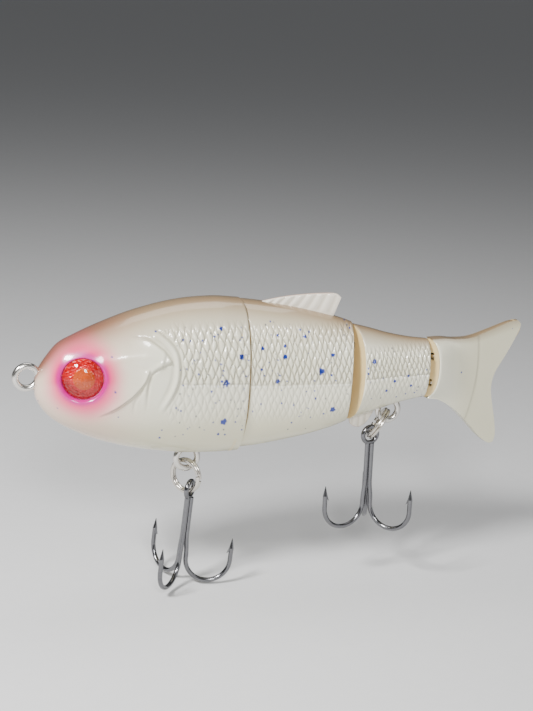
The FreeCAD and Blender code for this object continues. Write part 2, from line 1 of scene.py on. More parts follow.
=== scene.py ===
"""The looks of a four-section jointed swimbait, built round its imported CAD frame.

Millimetres in here, scaled to metres where a mesh is made. A section's own axes start at its front
hinge pin: x back along the section, y to its right, z up. The head's start at the line tie.
"""
import json
import math

import bpy
import numpy as np
from mathutils import Matrix, Vector


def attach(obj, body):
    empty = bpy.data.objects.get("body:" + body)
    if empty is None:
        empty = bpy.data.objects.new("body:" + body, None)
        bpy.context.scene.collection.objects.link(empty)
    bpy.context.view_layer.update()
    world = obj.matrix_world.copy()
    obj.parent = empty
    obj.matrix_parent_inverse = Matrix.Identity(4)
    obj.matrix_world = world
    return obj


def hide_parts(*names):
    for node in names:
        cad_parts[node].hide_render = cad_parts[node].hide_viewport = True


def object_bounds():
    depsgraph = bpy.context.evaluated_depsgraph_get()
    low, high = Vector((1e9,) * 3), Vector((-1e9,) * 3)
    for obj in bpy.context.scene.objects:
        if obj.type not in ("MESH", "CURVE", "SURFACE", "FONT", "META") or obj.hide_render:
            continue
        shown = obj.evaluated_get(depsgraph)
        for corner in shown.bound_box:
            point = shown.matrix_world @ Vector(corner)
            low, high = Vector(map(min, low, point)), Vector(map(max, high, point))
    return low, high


MM = 0.001

# Camera: its place, and its axes as rows
CAMERA_PLACE = (-70.6, -336.0, 100.3)
CAMERA_RIGHT = (0.9354, -0.3491, 0.0567)
CAMERA_UP = (0.0402, 0.2640, 0.9636)
CAMERA_BACK = (-0.3512, -0.8991, 0.2610)
CAMERA_LENS = 75.4
SENSOR_WIDTH = 36.0

# Stage, in metres. Lights: name, place, size and power.
FLOOR_REACH = 30.0
FLOOR_GAP = 0.0006
LIGHTS = [
    ("key", (-0.24, -0.16, 0.28), (0.10, 0.08), 3.4),
    ("front", (-0.08, -0.45, 0.26), (0.12, 0.10), 1.9),
    ("fill", (0.40, -0.40, 0.12), (0.4, 0.3), 0.5),
    ("top", (0.10, 0.12, 0.40), (0.30, 0.20), 0.5),
]
WORLD_STRENGTH = 0.14

# The moulded body, as the CAD has it
BODY_DEPTH = 39.7
BODY_WIDTH = 21.8
SECTION_POWER = 2.2
NOSE_X = 1.95
HEAD_LENGTH = 50.8
MID_LENGTH = 28.6
REAR_LENGTH = 20.9
TAIL_ROOT_LENGTH = 16.0
NOSE_CROWDING = 2.0
PIN_BACK = 2.75
NOSE_RADIUS = 2.5
HALF_ANGLES = {"mid": 14.0, "rear": 20.0, "tail": 34.0}
# Share of the section's length, top and bottom as shares of the depth, half-width of the width
HEAD_ROWS = [
    (0.000, -0.030, -0.066, 0.020),
    (0.006, 0.018, -0.130, 0.088),
    (0.022, 0.056, -0.172, 0.142),
    (0.059, 0.122, -0.235, 0.226),
    (0.114, 0.199, -0.294, 0.308),
    (0.193, 0.250, -0.350, 0.381),
    (0.315, 0.316, -0.415, 0.440),
    (0.488, 0.393, -0.476, 0.482),
    (0.685, 0.448, -0.519, 0.500),
    (0.862, 0.463, -0.537, 0.491),
    (1.000, 0.450, -0.537, 0.468),
]
MID_ROWS = [
    (0.00, 0.441, -0.523, 0.459),
    (0.20, 0.428, -0.504, 0.445),
    (0.42, 0.408, -0.471, 0.413),
    (0.65, 0.377, -0.431, 0.372),
    (0.86, 0.341, -0.383, 0.330),
    (1.00, 0.310, -0.340, 0.298),
]
REAR_ROWS = [
    (0.00, 0.300, -0.327, 0.294),
    (0.22, 0.272, -0.295, 0.266),
    (0.48, 0.234, -0.256, 0.229),
    (0.75, 0.205, -0.220, 0.193),
    (1.00, 0.189, -0.197, 0.170),
]
TAIL_ROOT_ROWS = [
    (0.00, 0.190, -0.196, 0.167),
    (0.25, 0.189, -0.212, 0.138),
    (0.50, 0.172, -0.237, 0.098),
    (0.75, 0.150, -0.264, 0.062),
    (1.00, 0.128, -0.290, 0.030),
]

# Tail fin borders: share of the length behind the pin, share of the height above its middle
TAIL_LENGTH = 26.4
TAIL_HEIGHT = 33.0
TAIL_ROOT_THICKNESS = 2.8
TAIL_EDGE_THICKNESS = 0.9
TAIL_TOP = [
    (-0.085, 0.228), (0.06, 0.227), (0.22, 0.212), (0.40, 0.214), (0.60, 0.255), (0.84, 0.310),
    (0.955, 0.320),
]
TAIL_BACK = [
    (0.955, 0.320), (1.00, 0.275), (0.94, 0.170), (0.83, 0.030), (0.725, -0.095),
    (0.695, -0.205), (0.720, -0.320), (0.775, -0.480), (0.805, -0.610), (0.785, -0.675),
]
TAIL_BOTTOM = [
    (-0.085, -0.236), (0.06, -0.262), (0.25, -0.352), (0.42, -0.470), (0.60, -0.610),
    (0.72, -0.675), (0.785, -0.675),
]
TAIL_MARGIN = 0.16
TAIL_COAT = 0.14
TAIL_GRID = (120, 150)
# The low bowed step where the tail's root meets its fin
TAIL_STEP_X = 13.0
TAIL_STEP_BOW = 0.012
TAIL_STEP_HEIGHT = 0.10
TAIL_BLEND = 0.5
# How far each half of the tail's skin stands out at the rows that wrap round its flat edges
TAIL_WRAP = (0.0, 0.45, 0.85)

# Fins: start behind the section's front pin, length, height, and edge as (share along, rise).
# The base is a share of the length, and a lean over 1 crowds the rays' feet forward.
DORSAL = {
    "start": 2.55, "length": 20.3, "height": 5.8, "direction": 1,
    "base": 0.90, "lean": 1.35, "rays": 8,
    "edge": [(0.0, 0.0), (0.24, 0.30), (0.50, 0.59), (0.76, 0.86), (0.93, 1.0), (1.0, 0.90)],
}
ANAL = {
    "start": -1.75, "length": 7.0, "height": 3.4, "direction": -1,
    "base": 1.0, "lean": 1.0, "rays": 4,
    "edge": [(0.0, 0.0), (0.10, 0.62), (0.40, 1.0), (0.66, 0.88), (0.86, 0.42), (1.0, 0.0)],
}
FIN_GRID = (110, 60)
FIN_THICKNESS = 1.4
FIN_TAPER = 0.22
FIN_SUNK = 0.9
FIN_RIM = 0.7
RAY_HEIGHT = 0.10

# Paint coat over the bare shell: full on the flanks, thin on the back, least at the rims, and
# thinner still between the two heights of THIN_BELOW, down to about THIN_SHARE at the belly
COAT = 0.36
COAT_THIN = 0.08
COAT_LEAST = 0.03
LEAST_SHARE = 0.25
THIN_BELOW = {"head": (-16.0, -9.0), "mid": (-15.0, -8.0), "rear": (-7.5, -3.0)}
THIN_SHARE = {"head": 0.45, "mid": 0.45, "rear": 0.0}
COAT_BACK = 0.12
RIM_WIDTH = 0.7
NOSE_SHRINK = 0.1
NOSE_THIN = (6.0, 20.0)
NOSE_EASE = 0.12
COAT_ROWS = {"head": 301, "mid": 221, "rear": 161}
COAT_COLUMNS = {"head": 230, "mid": 220, "rear": 150}
BACK_ROWS = 4
SHARP_ANGLE = 65

# Where the paint changes, from none of a colour to all of it: by angle from the top, by height,
# by x, and by distance past the eye's rim
BACK_ANGLES = (1.2, 0.1)
BELLY_HEIGHTS = (-4.0, -15.0)
FACE_REACH = (30.0, 12.0)
SOCKET_PAINT = (1.9, 0.7)

# Eyes
EYE_RADIUS = 4.95
EYE_X = 11.5
EYE_Z = 1.1
EYE_TURN = 19.0
EYE_TILT = 5.0
EYE_RECESS = 1.7
EYE_DISC = 0.5
SOCKET_FLARE = 41.0
EYE_HALO = 5.6
SOCKET_REACH = 9.0
SOCKET_BLEND = 0.30
SOCKET_GAP = 0.05
SOCKET_LIFT = 0.12
SOCKET_DROP = 9.0
SOCKET_DEEPEST = 1.0
SOCKET_SKIN = 0.15
FOIL_LIFT = 0.06
PUPIL_RADIUS = 2.6
PUPIL_SHIFT = 0.3
PUPIL_RISE = 0.22
DENT_DEPTH = 0.16
FOIL_GAP = 0.12
FOIL_UNDERSIDE = 0.05
FOIL_GRID = (121, 48)

# Gill relief: lines on the head's left flank as (x, z), mirrored to the right. Each fades out over
# shares of its length at its first and last ends. Ridges are (height, place, width), with the
# place measured across the line; a step is a raised plate's (height, width, groove depth); and
# shadows are (strength, place, width) of the darker paint in the grooves.
GILL_LINES = {
    "gill arc": {
        "points": [
            (28.6, 12.3), (30.7, 11.1), (32.7, 9.3), (34.1, 7.1), (34.6, 4.0), (34.3, 0.4),
            (33.2, -2.7), (31.7, -5.7), (30.4, -8.0),
        ],
        "fade": (0.15, 0.3),
        "ridges": [(0.50, -0.55, 0.55), (-0.30, 0.35, 0.32), (-0.22, -1.6, 0.5)],
        "shadows": [(1.0, 0.35, 0.22), (0.5, -1.5, 0.3)],
    },
    "opercle top": {
        "points": [(22.9, 10.7), (27.3, 10.0), (30.3, 8.0), (31.9, 6.2), (32.6, 4.8)],
        "fade": (0.3, 0.02),
        "step": (0.55, 2.6, 0.26),
        "shadows": [(1.0, 0.3, 0.22)],
    },
    "opercle rear": {
        "points": [
            (32.6, 4.8), (31.3, 4.4), (28.2, 2.6), (27.2, 0.4), (26.9, -3.2), (26.7, -7.6),
        ],
        "fade": (0.02, 0.45),
        "ridges": [(-0.30, 0.0, 0.34), (0.30, -0.8, 0.6)],
        "shadows": [(1.0, 0.0, 0.24)],
    },
    "cheek": {
        "points": [
            (27.4, 3.8), (25.9, 0.2), (23.6, -2.6), (20.9, -4.8), (17.9, -6.8), (15.3, -8.2),
        ],
        "fade": (0.10, 0.35),
        "step": (0.60, 2.2, 0.28),
        "shadows": [(0.8, 0.3, 0.22)],
    },
    "crease": {
        "points": [(26.3, -0.2), (24.9, -2.4), (23.9, -4.4), (23.7, -7.7)],
        "fade": (0.2, 0.3),
        "ridges": [(-0.16, 0.0, 0.35)],
        "shadows": [(0.4, 0.0, 0.3)],
    },
    "cheek ridge": {
        "points": [(16.5, 4.8), (22.0, 6.2), (27.0, 6.2), (31.0, 5.2)],
        "fade": (0.35, 0.10),
        "ridges": [(0.55, 0.0, 2.0)],
    },
}
SHADOW_SHARE = 0.8

# Scales: (pitch, row height, relief), the height where they end, and the lateral line as (x, z)
# ends in each section's axes
SCALES = {"head": (0.92, 4.3, 0.34), "mid": (0.75, 3.7, 0.30), "rear": (0.66, 3.1, 0.26)}
SCALE_TOP = {"head": 14.5, "mid": 13.5, "rear": 8.0}
SCALE_SLANT = {"head": 0.05, "mid": 0.10, "rear": 0.10}
SCALE_TOP_FADE = 5.0
SCALE_SWING = 0.36
SCALE_WARP = 0.32
ROW_WARP = 0.10
DOME_SHARE = 0.6
DOME_HEIGHT = 0.8
SCALE_SUNK = 0.2
GROOVE_WIDTH = 0.17
# The scales' strength below the lateral line, the heights above it where they fade, and where
# they start behind the gill arc
BELOW_LINE = 0.30
LINE_FADE = (-1.2, 0.6)
BELLY_FADE = (-13.0, -4.0)
GILL_FADE = (0.4, 1.6)
SCALES_FROM_TOP = 32.0
SCALES_FROM_BELLY = 31.5
FAR = 9.0
LATERAL = {
    "head": ((34.7, -0.2), (52.0, -1.2)),
    "mid": ((-1.0, -1.8), (26.0, -1.7)),
    "rear": ((-1.0, -1.0), (17.0, -0.8)),
}
LINE_WIDTH = 0.16
LINE_DEPTH = 0.16
LINE_SHADOW = 0.9
# The row of raised dashes just below the lateral line, painted as highlights, and the short ridge
# high on the mid
GLINT_BELOW = 0.42
GLINT_WIDTH = 0.2
GLINT_HEIGHT = 0.10
MID_RIDGE_Z = 9.4
MID_RIDGE_WIDTH = 0.35
MID_RIDGE_HEIGHT = 0.12

# Big paint splatters on the left flank: (x, z, radius). The specks between them are seeded.
SPLATTER = {
    "head": [
        (46.4, -0.6, 0.72), (50.3, 5.6, 0.62), (45.3, 12.3, 0.42), (46.6, -10.6, 0.72),
        (45.2, 0.0, 0.3), (44.3, 11.0, 0.2), (40.3, 9.8, 0.22), (35.6, 10.1, 0.22),
        (39.2, 2.0, 0.25), (42.7, -2.4, 0.26), (45.8, -14.2, 0.3), (34.0, -6.1, 0.22),
        (29.2, 12.0, 0.2), (31.0, -14.4, 0.25), (34.7, 3.2, 0.2),
    ],
    "mid": [
        (17.6, 1.5, 0.62), (21.3, -8.7, 0.62), (8.1, 5.2, 0.5), (2.4, 7.2, 0.42),
        (6.6, -0.8, 0.45), (20.3, 5.4, 0.4), (8.0, 7.8, 0.35), (13.0, 9.9, 0.4),
        (2.4, 2.1, 0.3), (6.2, 10.3, 0.3), (11.8, 11.4, 0.22), (14.1, 10.9, 0.25),
        (16.5, -5.5, 0.25), (11.0, -7.0, 0.22),
    ],
    "rear": [
        (1.8, 3.4, 0.5), (7.9, -2.0, 0.36), (11.8, -0.9, 0.34), (12.9, -3.6, 0.3),
        (5.9, -4.4, 0.3), (0.2, 0.4, 0.25),
    ],
    "tail": [],
}
SPECKS = {"head": 80, "mid": 60, "rear": 26, "tail": 4}
SPECK_SEED = 31
SPECK_HEIGHTS = (-15, 14)
SPECK_RADII = (0.09, 0.22)
REAR_SPREAD = 0.55
HEAD_SPECKS_FROM = 34.0
RIGHT_SCATTER = 1.6
SPLASH = 1.15
SPLASH_EDGE = 0.06


def smooth(edge0, edge1, value):
    """0 at edge0, 1 at edge1, and a soft step between them."""
    share = np.clip((value - edge0) / (edge1 - edge0), 0.0, 1.0)
    return share * share * (3 - 2 * share)


def bell(value, width):
    """1 at zero, falling away over the width on both sides."""
    return np.exp(-((value / width) ** 2))


def rounded(share):
    """The height of a quarter-round rim at a share of its width: 0 at its edge, 1 from 1 on."""
    return np.sqrt(1 - (1 - np.clip(share, 0, 1)) ** 2)


def side_name(side):
    return "right" if side > 0 else "left"


def curve(points, per_span=8):
    """A Catmull-Rom curve through given points."""
    pts = np.array([points[0]] + list(points) + [points[-1]], float)
    made = []
    for a, b, c, d in zip(pts, pts[1:], pts[2:], pts[3:]):
        for t in np.linspace(0, 1, per_span, endpoint=False):
            made.append(0.5 * (2 * b + (c - a) * t + (2 * a - 5 * b + 4 * c - d) * t ** 2
                               + (3 * b - a - 3 * c + d) * t ** 3))
    return np.array(made + [pts[-1]])


def from_line(line, x, z):
    """(signed distance, share along) of places from a polyline; positive on its left."""
    best = np.full(x.shape, 1e9)
    sign = np.ones(x.shape)
    along = np.zeros(x.shape)
    count = len(line) - 1
    for i in range(count):
        (ax, az), (bx, bz) = line[i], line[i + 1]
        dx, dz = bx - ax, bz - az
        t = np.clip(((x - ax) * dx + (z - az) * dz) / (dx * dx + dz * dz), 0, 1)
        away = np.hypot(x - ax - t * dx, z - az - t * dz)
        near = away < best
        best = np.where(near, away, best)
        side = np.where(dx * (z - az) - dz * (x - ax) >= 0, 1.0, -1.0)
        sign = np.where(near, side, sign)
        along = np.where(near, (i + t) / count, along)
    return best * sign, along


def wobble(x, z, seed):
    """A smooth wandering value between about -1 and 1."""
    return (np.sin(0.9 * x + 1.3 * z + seed) + np.sin(1.7 * x - 0.8 * z + 2.1 * seed)
            + np.sin(0.5 * x + 2.3 * z + 3.7 * seed)) / 3


class Section:
    """One moulded section's smooth outer form in its own axes."""

    def __init__(self, body, rows, start, length, pin=(0.0, 0.0), turn=0.0):
        self.body, self.start, self.length = body, start, length
        self.pin, self.turn = pin, math.radians(turn)
        self.crowding = NOSE_CROWDING if body == "head" else 1.0
        table = np.array(rows)
        self.knots = table[:, 0] ** (1 / self.crowding)
        self.values = table[:, 1:] * (BODY_DEPTH, BODY_DEPTH, BODY_WIDTH)
        before = np.maximum(np.arange(len(rows)) - 1, 0)
        after = np.minimum(np.arange(len(rows)) + 1, len(rows) - 1)
        span = (self.knots[after] - self.knots[before])[:, None]
        self.slopes = (self.values[after] - self.values[before]) / span

    def offsets(self, x):
        """(top, bottom, half-width) at x, by cubic Hermite spans between the rows."""
        share = np.clip((x - self.start) / self.length, 0, 1) ** (1 / self.crowding)
        i = np.clip(np.searchsorted(self.knots, share) - 1, 0, len(self.knots) - 2)
        span = self.knots[i + 1] - self.knots[i]
        t = ((share - self.knots[i]) / span)[..., None]
        span = span[..., None]
        value = (2 * t ** 3 - 3 * t ** 2 + 1) * self.values[i]
        value = value + (t ** 3 - 2 * t ** 2 + t) * span * self.slopes[i]
        value = value + (3 * t ** 2 - 2 * t ** 3) * self.values[i + 1]
        value = value + (t ** 3 - t ** 2) * span * self.slopes[i + 1]
        return value[..., 0], value[..., 1], value[..., 2]

    def place(self, x, angle):
        """Surface points at x and at an angle from the top; positive angles are on the right."""
        top, bottom, half = self.offsets(x)
        power = 2 / SECTION_POWER
        across = np.sign(np.sin(angle)) * np.abs(np.sin(angle)) ** power
        rise = np.sign(np.cos(angle)) * np.abs(np.cos(angle)) ** power
        return np.stack([x, half * across, (top + bottom) / 2 + rise * (top - bottom) / 2], axis=-1)

    def front(self, angle):
        """Where the skin begins at each angle: the V-shaped nose's edge, or the head's tip."""
        if self.body == "head":
            return np.full(angle.shape, self.start)
        a = math.radians(HALF_ANGLES[self.body])
        x = np.zeros(angle.shape)
        for _ in range(6):
            y = np.abs(self.place(x, angle)[..., 1])
            flank = -NOSE_RADIUS * math.cos(a) + (y - NOSE_RADIUS * math.sin(a)) * math.tan(a)
            tip = -np.sqrt(np.maximum(NOSE_RADIUS ** 2 - y ** 2, 0))
            x = np.where(y > NOSE_RADIUS * math.sin(a), flank, tip)
        return x

    def to_frame(self, points):
        """Points in the section's own axes, moved to the frame's."""
        c, s = math.cos(self.turn), math.sin(self.turn)
        x, y, z = points[..., 0], points[..., 1], points[..., 2]
        return np.stack([self.pin[0] + c * x - s * y, self.pin[1] + s * x + c * y, z], axis=-1)


def make_sections(joints):
    """The sections on the frame's hinges: in line at the middle of each joint's range."""
    pins = {}
    turn = 0.0
    for joint in joints:
        if joint["name"] in ("head_joint", "mid_joint", "tail_joint"):
            low, high = joint["range_deg"]
            turn -= (low + high) / 2
            pins[joint["child"]] = ([v / MM for v in joint["pos_m"][:2]], turn)
    return {
        "head": Section("head", HEAD_ROWS, NOSE_X, HEAD_LENGTH),
        "mid": Section("mid", MID_ROWS, -PIN_BACK, MID_LENGTH, *pins["mid"]),
        "rear": Section("rear", REAR_ROWS, -PIN_BACK, REAR_LENGTH, *pins["rear"]),
        "tail": Section("tail", TAIL_ROOT_ROWS, -PIN_BACK, TAIL_ROOT_LENGTH, *pins["tail"]),
    }


def scale_relief(body, x, z):
    """(height, groove mask) of the scales: grooves that wander, meet and part, with the mask
    setting painted shade in them.
    """
    pitch, row, relief = SCALES[body]
    warp = SCALE_WARP * wobble(0.9 * x, 0.7 * z, 4.0)
    u = (x + SCALE_SLANT[body] * z) / pitch + warp
    v = z / row + ROW_WARP * wobble(1.3 * x, 0.5 * z, 9.0)
    nearest = np.full(x.shape, FAR)
    for step in (-1, 0, 1, 2):
        k = np.floor(u) + step
        swing = SCALE_SWING * np.where(k % 2 == 0, 1.0, -1.0) * np.cos(2 * math.pi * v)
        nearest = np.minimum(nearest, np.abs(u - k - swing))
    away = nearest * pitch
    groove = bell(away, GROOVE_WIDTH)
    dome = smooth(0.0, DOME_SHARE * pitch, away)
    return relief * (DOME_HEIGHT * dome - groove - SCALE_SUNK), groove


def scale_fade(body, x, z):
    """(how strongly the scales show, height above the lateral line) at a place."""
    left, right = LATERAL[body]
    line = left[1] + (x - left[0]) * (right[1] - left[1]) / (right[0] - left[0])
    above = z - line
    top = SCALE_TOP[body]
    strong = smooth(top, top - SCALE_TOP_FADE, z)
    strong = strong * (BELOW_LINE + (1 - BELOW_LINE) * smooth(*LINE_FADE, above))
    strong = strong * smooth(*BELLY_FADE, above)
    if body == "head":
        arc = GILL_LINES["gill arc"]["points"]
        past, _ = from_line(curve(arc, 3), x, z)
        past = np.where(z > arc[0][1], x - SCALES_FROM_TOP, past)
        past = np.where(z < arc[-1][1], x - SCALES_FROM_BELLY, past)
        strong = strong * smooth(*GILL_FADE, past)
    return strong, above


def step_edge(away, height, width, groove):
    """A raised plate's edge: plate on the negative side, a groove just outside it."""
    plate = height * (1 - smooth(-0.28, 0.22, away)) * np.exp(-np.maximum(-away, 0) / width)
    return plate - groove * bell(away - 0.32, 0.28)


def head_relief(x, z):
    """(height, shadow mask) of the gill plates on the head's flank."""
    height, shadow = np.zeros(x.shape), np.zeros(x.shape)
    for line in GILL_LINES.values():
        away, along = from_line(curve(line["points"]), x, z)
        first, last = line["fade"]
        fade = smooth(0.0, first, along) * smooth(1.0, 1.0 - last, along)
        for rise, place, width in line.get("ridges", ()):
            height = height + fade * rise * bell(away - place, width)
        if "step" in line:
            height = height + fade * step_edge(away, *line["step"])
        for strength, place, width in line.get("shadows", ()):
            shadow = shadow + strength * fade * bell(away - place, width)
    return height, np.clip(shadow, 0, 1)


def relief(body, x, z):
    """(height, groove mask, glint mask) of everything moulded in a section's flank: painted shade,
    painted highlight.
    """
    height, groove = scale_relief(body, x, z)
    strong, above = scale_fade(body, x, z)
    height, groove = height * strong, groove * strong
    line_start = LATERAL[body][0][0]
    along = smooth(line_start - 0.5, line_start + 0.8, x)
    line = along * bell(above, LINE_WIDTH)
    dash = 0.5 + 0.5 * np.sin(2 * math.pi * x / SCALES[body][0])
    glint = along * bell(above + GLINT_BELOW, GLINT_WIDTH) * dash
    height = height - LINE_DEPTH * line + GLINT_HEIGHT * glint
    groove = np.maximum(groove, LINE_SHADOW * line)
    if body == "head":
        plates, shadow = head_relief(x, z)
        height, groove = height + plates, np.maximum(groove, SHADOW_SHARE * shadow)
    if body == "mid":
        ridge = bell(z - MID_RIDGE_Z, MID_RIDGE_WIDTH) * smooth(-1, 1, x) * smooth(16, 12, x)
        height = height + MID_RIDGE_HEIGHT * ridge
    return height, groove, glint


def eye_axes(section, side):
    """(centre, across, up, out) of an eye, side -1 left and +1 right."""
    half = section.offsets(np.array(EYE_X))[2]
    turn, tilt = math.radians(EYE_TURN), math.radians(EYE_TILT)
    level = math.cos(tilt)
    out = np.array([-math.sin(turn) * level, side * math.cos(turn) * level, math.sin(tilt)])
    across = np.cross((0, 0, 1), out)
    across = across / np.linalg.norm(across)
    return np.array([EYE_X, side * half, EYE_Z]), across, np.cross(out, across), out


def eye_sockets(section, side, outer, inner):
    """Flares the coat down into its eye pocket; also gives the distance from the eye's centre."""
    centre, across, up, out = eye_axes(section, side)
    axes = np.stack([across, up, out])
    local = (outer - centre) @ axes.T
    behind = (inner - centre) @ axes.T
    radius = np.hypot(local[..., 0], local[..., 1])
    floor = EYE_DISC - EYE_RECESS
    flare = math.tan(math.radians(SOCKET_FLARE))
    cone = floor + SOCKET_LIFT + (radius - EYE_RADIUS - SOCKET_GAP) / flare
    hole = floor + FOIL_LIFT - SOCKET_DROP * (EYE_RADIUS - radius)
    cone = np.where(radius < EYE_RADIUS, hole, cone)
    cone = np.maximum(cone, -EYE_RECESS - SOCKET_DEEPEST)
    blend = np.clip(0.5 + 0.5 * (cone - local[..., 2]) / SOCKET_BLEND, 0, 1)
    lowered = cone * (1 - blend) + local[..., 2] * blend - SOCKET_BLEND * blend * (1 - blend)
    lowered = np.where(radius < SOCKET_REACH, lowered, local[..., 2])
    local[..., 2] = lowered
    lowered_back = np.minimum(behind[..., 2], lowered - SOCKET_SKIN)
    behind[..., 2] = np.where(radius < SOCKET_REACH, lowered_back, behind[..., 2])
    return local @ axes + centre, behind @ axes + centre, radius


def splatters(body, side, x, z):
    """(blue, grey) masks of the dots on one flank: big ones listed, every third speck grey."""
    rng = np.random.default_rng(SPECK_SEED + len(body) + (7 if side > 0 else 0))
    blue, grey = np.zeros(x.shape), np.zeros(x.shape)
    low, high = x.min(), x.max()
    dots = [(dx, dz, r, False) for dx, dz, r in SPLATTER[body]]
    if side > 0:
        dots = [
            (dx + rng.normal(0, RIGHT_SCATTER), dz + rng.normal(0, RIGHT_SCATTER), r, False)
            for dx, dz, r, _ in dots
        ]
    spread = REAR_SPREAD if body == "rear" else 1
    for i in range(SPECKS[body]):
        first = max(low, HEAD_SPECKS_FROM) if body == "head" and i % 6 else low
        dx = rng.uniform(first, high)
        dz = rng.uniform(*SPECK_HEIGHTS) * spread
        dots.append((dx, dz, rng.uniform(*SPECK_RADII), i % 3 == 2))
    for dx, dz, r, is_grey in dots:
        away = np.hypot(x - dx, z - dz)
        turn = np.arctan2(z - dz, x - dx)
        spikes = 0.12 * np.sin(5 * turn + 7 * dz) * (r > 0.35)
        ragged = SPLASH * r * (1 + 0.09 * np.sin(3 * turn + 9 * dx) + spikes)
        dot = smooth(ragged + SPLASH_EDGE, ragged - SPLASH_EDGE, away)
        if is_grey:
            grey = np.maximum(grey, dot)
        else:
            blue = np.maximum(blue, dot)
    return blue, grey


def closed_mesh(name, outer, inner, masks, thin=1):
    """An object closed from two equal grids of points (mm); the inner one keeps every thin-th row.

    The masks belong to the outer grid and become attributes.
    """
    rows, columns = outer.shape[:2]
    inner = inner[::thin]
    vertices = np.concatenate([outer.reshape(-1, 3), inner.reshape(-1, 3)]) * MM
    index = np.arange(rows * columns).reshape(rows, columns)
    other = rows * columns + np.arange(inner.shape[0] * columns).reshape(-1, columns)

    def quads(a, b, c, d):
        """One four-sided face from each place in four equal grids of vertex numbers."""
        return np.stack([a.ravel(), b.ravel(), c.ravel(), d.ravel()], axis=1)

    faces = np.concatenate([
        quads(index[:-1, :-1], index[1:, :-1], index[1:, 1:], index[:-1, 1:]),
        quads(other[:-1, :-1], other[:-1, 1:], other[1:, 1:], other[1:, :-1]),
        quads(index[0, :-1], index[0, 1:], other[0, 1:], other[0, :-1]),
        quads(index[-1, :-1], other[-1, :-1], other[-1, 1:], index[-1, 1:]),
    ])
    sides = []
    for column, way in ((0, -1), (-1, 1)):
        for i in range(other.shape[0] - 1):
            run = index[i * thin:(i + 1) * thin + 1, column]
            sides.append(np.concatenate([run, other[i:i + 2, column][::-1]])[::way])
    a, b, c = (vertices[faces[:, k]] for k in (0, 1, 2))
    d = vertices[faces[:, 3]]
    volume = np.sum(np.cross(b - a, c - a) * a) + np.sum(np.cross(c - a, d - a) * a)
    loops = np.concatenate([faces.ravel()] + sides)
    sizes = np.concatenate([np.full(len(faces), 4), [len(side) for side in sides]]).astype(int)
    mesh = bpy.data.meshes.new(name)
    mesh.vertices.add(len(vertices))
    mesh.vertices.foreach_set("co", vertices.ravel())
    mesh.loops.add(len(loops))
    mesh.loops.foreach_set("vertex_index", loops)
    mesh.polygons.add(len(sizes))
    mesh.polygons.foreach_set("loop_start", np.cumsum(sizes) - sizes)
    mesh.update(calc_edges=True)
    if volume < 0:
        mesh.flip_normals()
    mesh.polygons.foreach_set("use_smooth", np.ones(len(sizes), bool))
    mesh.set_sharp_from_angle(angle=math.radians(SHARP_ANGLE))
    for key, mask in masks.items():
        layer = mesh.attributes.new(key, "FLOAT", "POINT")
        values = np.concatenate([mask.ravel(), mask[::thin].ravel()])
        layer.data.foreach_set("value", values.astype(np.float32))
    made = bpy.data.objects.new(name, mesh)
    bpy.context.scene.collection.objects.link(made)
    return made


def coat(section, side, materials):
    """The painted skin over one half of a section."""
    body = section.body
    rows, columns = COAT_ROWS[body], COAT_COLUMNS[body]
    angle = np.broadcast_to(np.linspace(0, math.pi, columns) * side, (rows, columns))
    share = np.linspace(0, 1, rows)
    if body == "head":
        share = np.sqrt(share ** 2 + NOSE_EASE ** 2) - NOSE_EASE
        share = share / (math.hypot(1, NOSE_EASE) - NOSE_EASE)
    first = section.front(angle[0])
    last = section.start + section.length
    x = first + (last - first) * share[:, None]
    base = section.place(x, angle)
    normal = np.cross(np.gradient(base, axis=0), np.gradient(base, axis=1)) * side
    normal[:, (0, -1), 1] = 0
    normal = normal / np.maximum(np.linalg.norm(normal, axis=-1, keepdims=True), 1e-9)
    z = base[..., 2]
    height, groove, glint = relief(body, x, z)
    edge = np.minimum(last - x, RIM_WIDTH if body == "head" else x - first)
    rim = rounded(edge / RIM_WIDTH)
    under = smooth(*THIN_BELOW[body], z)
    flank = np.abs(np.sin(angle)) ** 1.5 * under
    if body == "head":
        flank = flank * smooth(*NOSE_THIN, x)
    least = COAT_LEAST * np.maximum(under, LEAST_SHARE + THIN_SHARE[body])
    cover = COAT_THIN * np.maximum(under, THIN_SHARE[body]) + (COAT - COAT_THIN) * flank
    offset = least + rim * np.maximum(cover + height * under - least, 0)
    outer = base + normal * offset[..., None]
    inner = base - normal * COAT_BACK
    blue, grey = splatters(body, side, x, z)
    masks = {
        # groove paints shade into the scale, lateral-line and gill grooves; glint paints highlights
        # on the dashes below the lateral line
        "groove": groove * rim,
        "glint": glint,
        "blue": blue,
        "grey": grey,
        "back": smooth(*BACK_ANGLES, np.abs(angle)),
        "belly": smooth(*BELLY_HEIGHTS, z),
    }
    if body == "head":
        outer, inner, radius = eye_sockets(section, side, outer, inner)
        halo = EYE_HALO * (1 + 0.22 * smooth(-4.0, 4.0, x - EYE_X) + 0.2 * smooth(0.0, -4.0, z))
        masks["eye"] = smooth(EYE_RADIUS + halo, EYE_RADIUS + 0.2, radius)
        masks["socket"] = smooth(*SOCKET_PAINT, radius - EYE_RADIUS)
        masks["face"] = smooth(*FACE_REACH, x)
        tip = np.array([section.start, 0.0, float(base[0, :, 2].mean())])
        outer[0] = tip + NOSE_SHRINK * (outer[0] - tip) - (COAT_THIN, 0, 0)
        inner[0] = tip + NOSE_SHRINK * (inner[0] - tip) + (COAT, 0, 0)
    made = closed_mesh(body + "_coat_" + side_name(side),
                       section.to_frame(outer), section.to_frame(inner), masks, BACK_ROWS)
    made.data.materials.append(materials["paint"])
    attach(made, body)


def along_curve(points, shares):
    """Places at shares of the length of the smooth curve through points."""
    line = curve(points, 12)
    run = np.concatenate([[0], np.cumsum(np.hypot(*np.diff(line, axis=0).T))])
    shares = shares * run[-1]
    return np.stack([np.interp(shares, run, line[:, k]) for k in (0, 1)], axis=-1)


